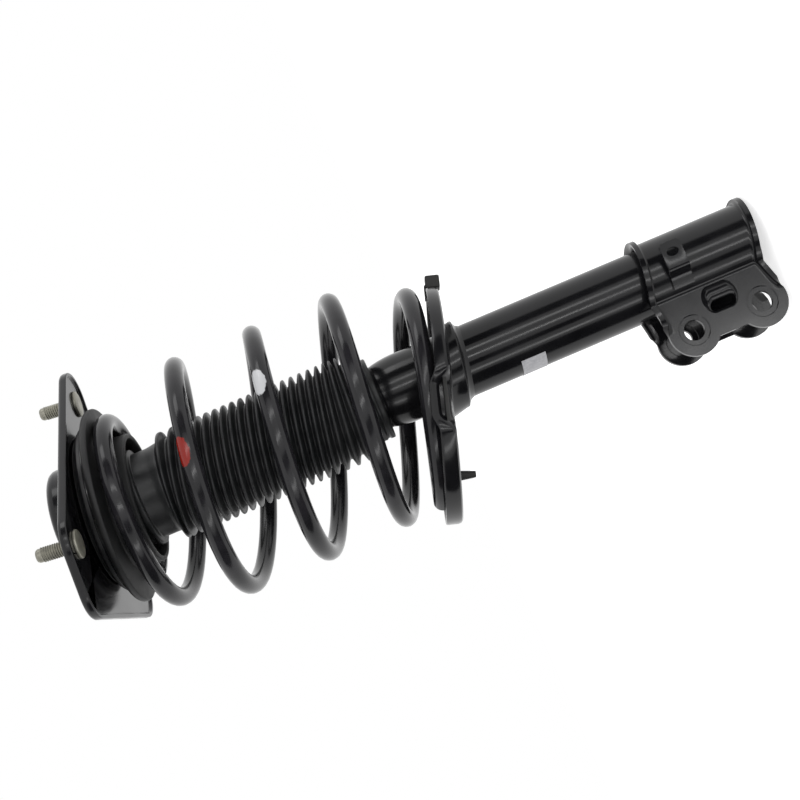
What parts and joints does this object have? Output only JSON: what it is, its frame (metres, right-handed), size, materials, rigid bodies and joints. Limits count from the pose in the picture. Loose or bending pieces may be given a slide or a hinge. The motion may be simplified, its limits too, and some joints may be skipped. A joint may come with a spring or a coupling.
{
  "type": "strut assembly",
  "caption": "Complete front suspension strut: damper with coil spring, ribbed gaiter, bearing top mount with studs, spring seats and a two-bolt knuckle bracket.",
  "frame": {"origin": "middle of the mount plate's upper face, where it meets the car's tower", "axes": "+Z along the damper axis towards the car body, -X the side where the two knuckle ears stand, +Y across the ears"},
  "size_m": [0.2112, 0.1884, 0.5307],
  "materials": {
    "black_enamel": "gloss black enamel",
    "spring_enamel": "gloss black powder coat",
    "zinc_yellow": "yellow zinc plating",
    "zinc_plain": "bright zinc plating",
    "mount_rubber_black": "moulded rubber",
    "boot_rubber": "moulded rubber, satin",
    "shell_plastic": "glass-filled nylon",
    "bearing_steel": "ground steel",
    "cage_nylon": "natural nylon",
    "rod_chrome": "hard chrome",
    "damper_steel": "drawn steel",
    "sintered_iron": "sintered iron",
    "piston_ptfe": "filled PTFE",
    "bump_foam": "cellular polyurethane",
    "bush_bronze": "bronze-backed lining",
    "label_paper": "blank label"
  },
  "bodies": {
    "top_mount": {"mount_plate": "black_enamel", "mount_cup": "black_enamel", "mount_studs": "zinc_yellow", "mount_rubber": "mount_rubber_black", "bearing_shell": "shell_plastic", "bearing_upper_race": "bearing_steel"},
    "ball_cage": {"bearing_cage": "cage_nylon", "bearing_balls": "bearing_steel"},
    "spring_top": {"bearing_lower_race": "bearing_steel", "upper_spring_seat": "black_enamel", "upper_spring_pad": "mount_rubber_black", "rod_washer": "zinc_plain", "rod_nut": "zinc_plain", "piston_rod": "rod_chrome", "rebound_stop": "mount_rubber_black", "piston": "sintered_iron", "piston_band": "piston_ptfe", "piston_shims": "damper_steel", "piston_nut": "zinc_plain", "bump_cup": "black_enamel", "bump_stop": "bump_foam", "dust_boot": "boot_rubber", "coil_spring": "spring_enamel"},
    "strut_body": {"strut_tube": "black_enamel", "tube_end_cap": "black_enamel", "pressure_tube": "damper_steel", "base_valve": "sintered_iron", "rod_guide": "sintered_iron", "guide_bush": "bush_bronze", "rod_seal": "mount_rubber_black", "lower_spring_seat": "black_enamel", "lower_spring_pad": "mount_rubber_black", "knuckle_bracket": "black_enamel", "hose_bracket": "black_enamel", "blank_label": "label_paper"}
  },
  "joints": [
    {"name": "steering_swivel", "type": "hinge", "parent": "top_mount", "child": "spring_top", "pos_m": [0, 0, 0], "axis": [0.1045, 0, 0.9945], "range_deg": [-38, 38]},
    {"name": "ball_cage_roll", "type": "hinge", "parent": "top_mount", "child": "ball_cage", "pos_m": [0, 0, 0], "axis": [0.1045, 0, 0.9945], "range_deg": [-19, 19]},
    {"name": "damper_stroke", "type": "slide", "parent": "spring_top", "child": "strut_body", "axis": [0, 0, 1], "range_m": [0, 0.11], "stiffness_N_per_m": 25000, "springref_m": -0.05, "deforming": ["coil_spring", "dust_boot"]}
  ],
  "couplings": [
    {"joint": "ball_cage_roll", "follows": "steering_swivel", "ratio": 0.5}
  ]
}
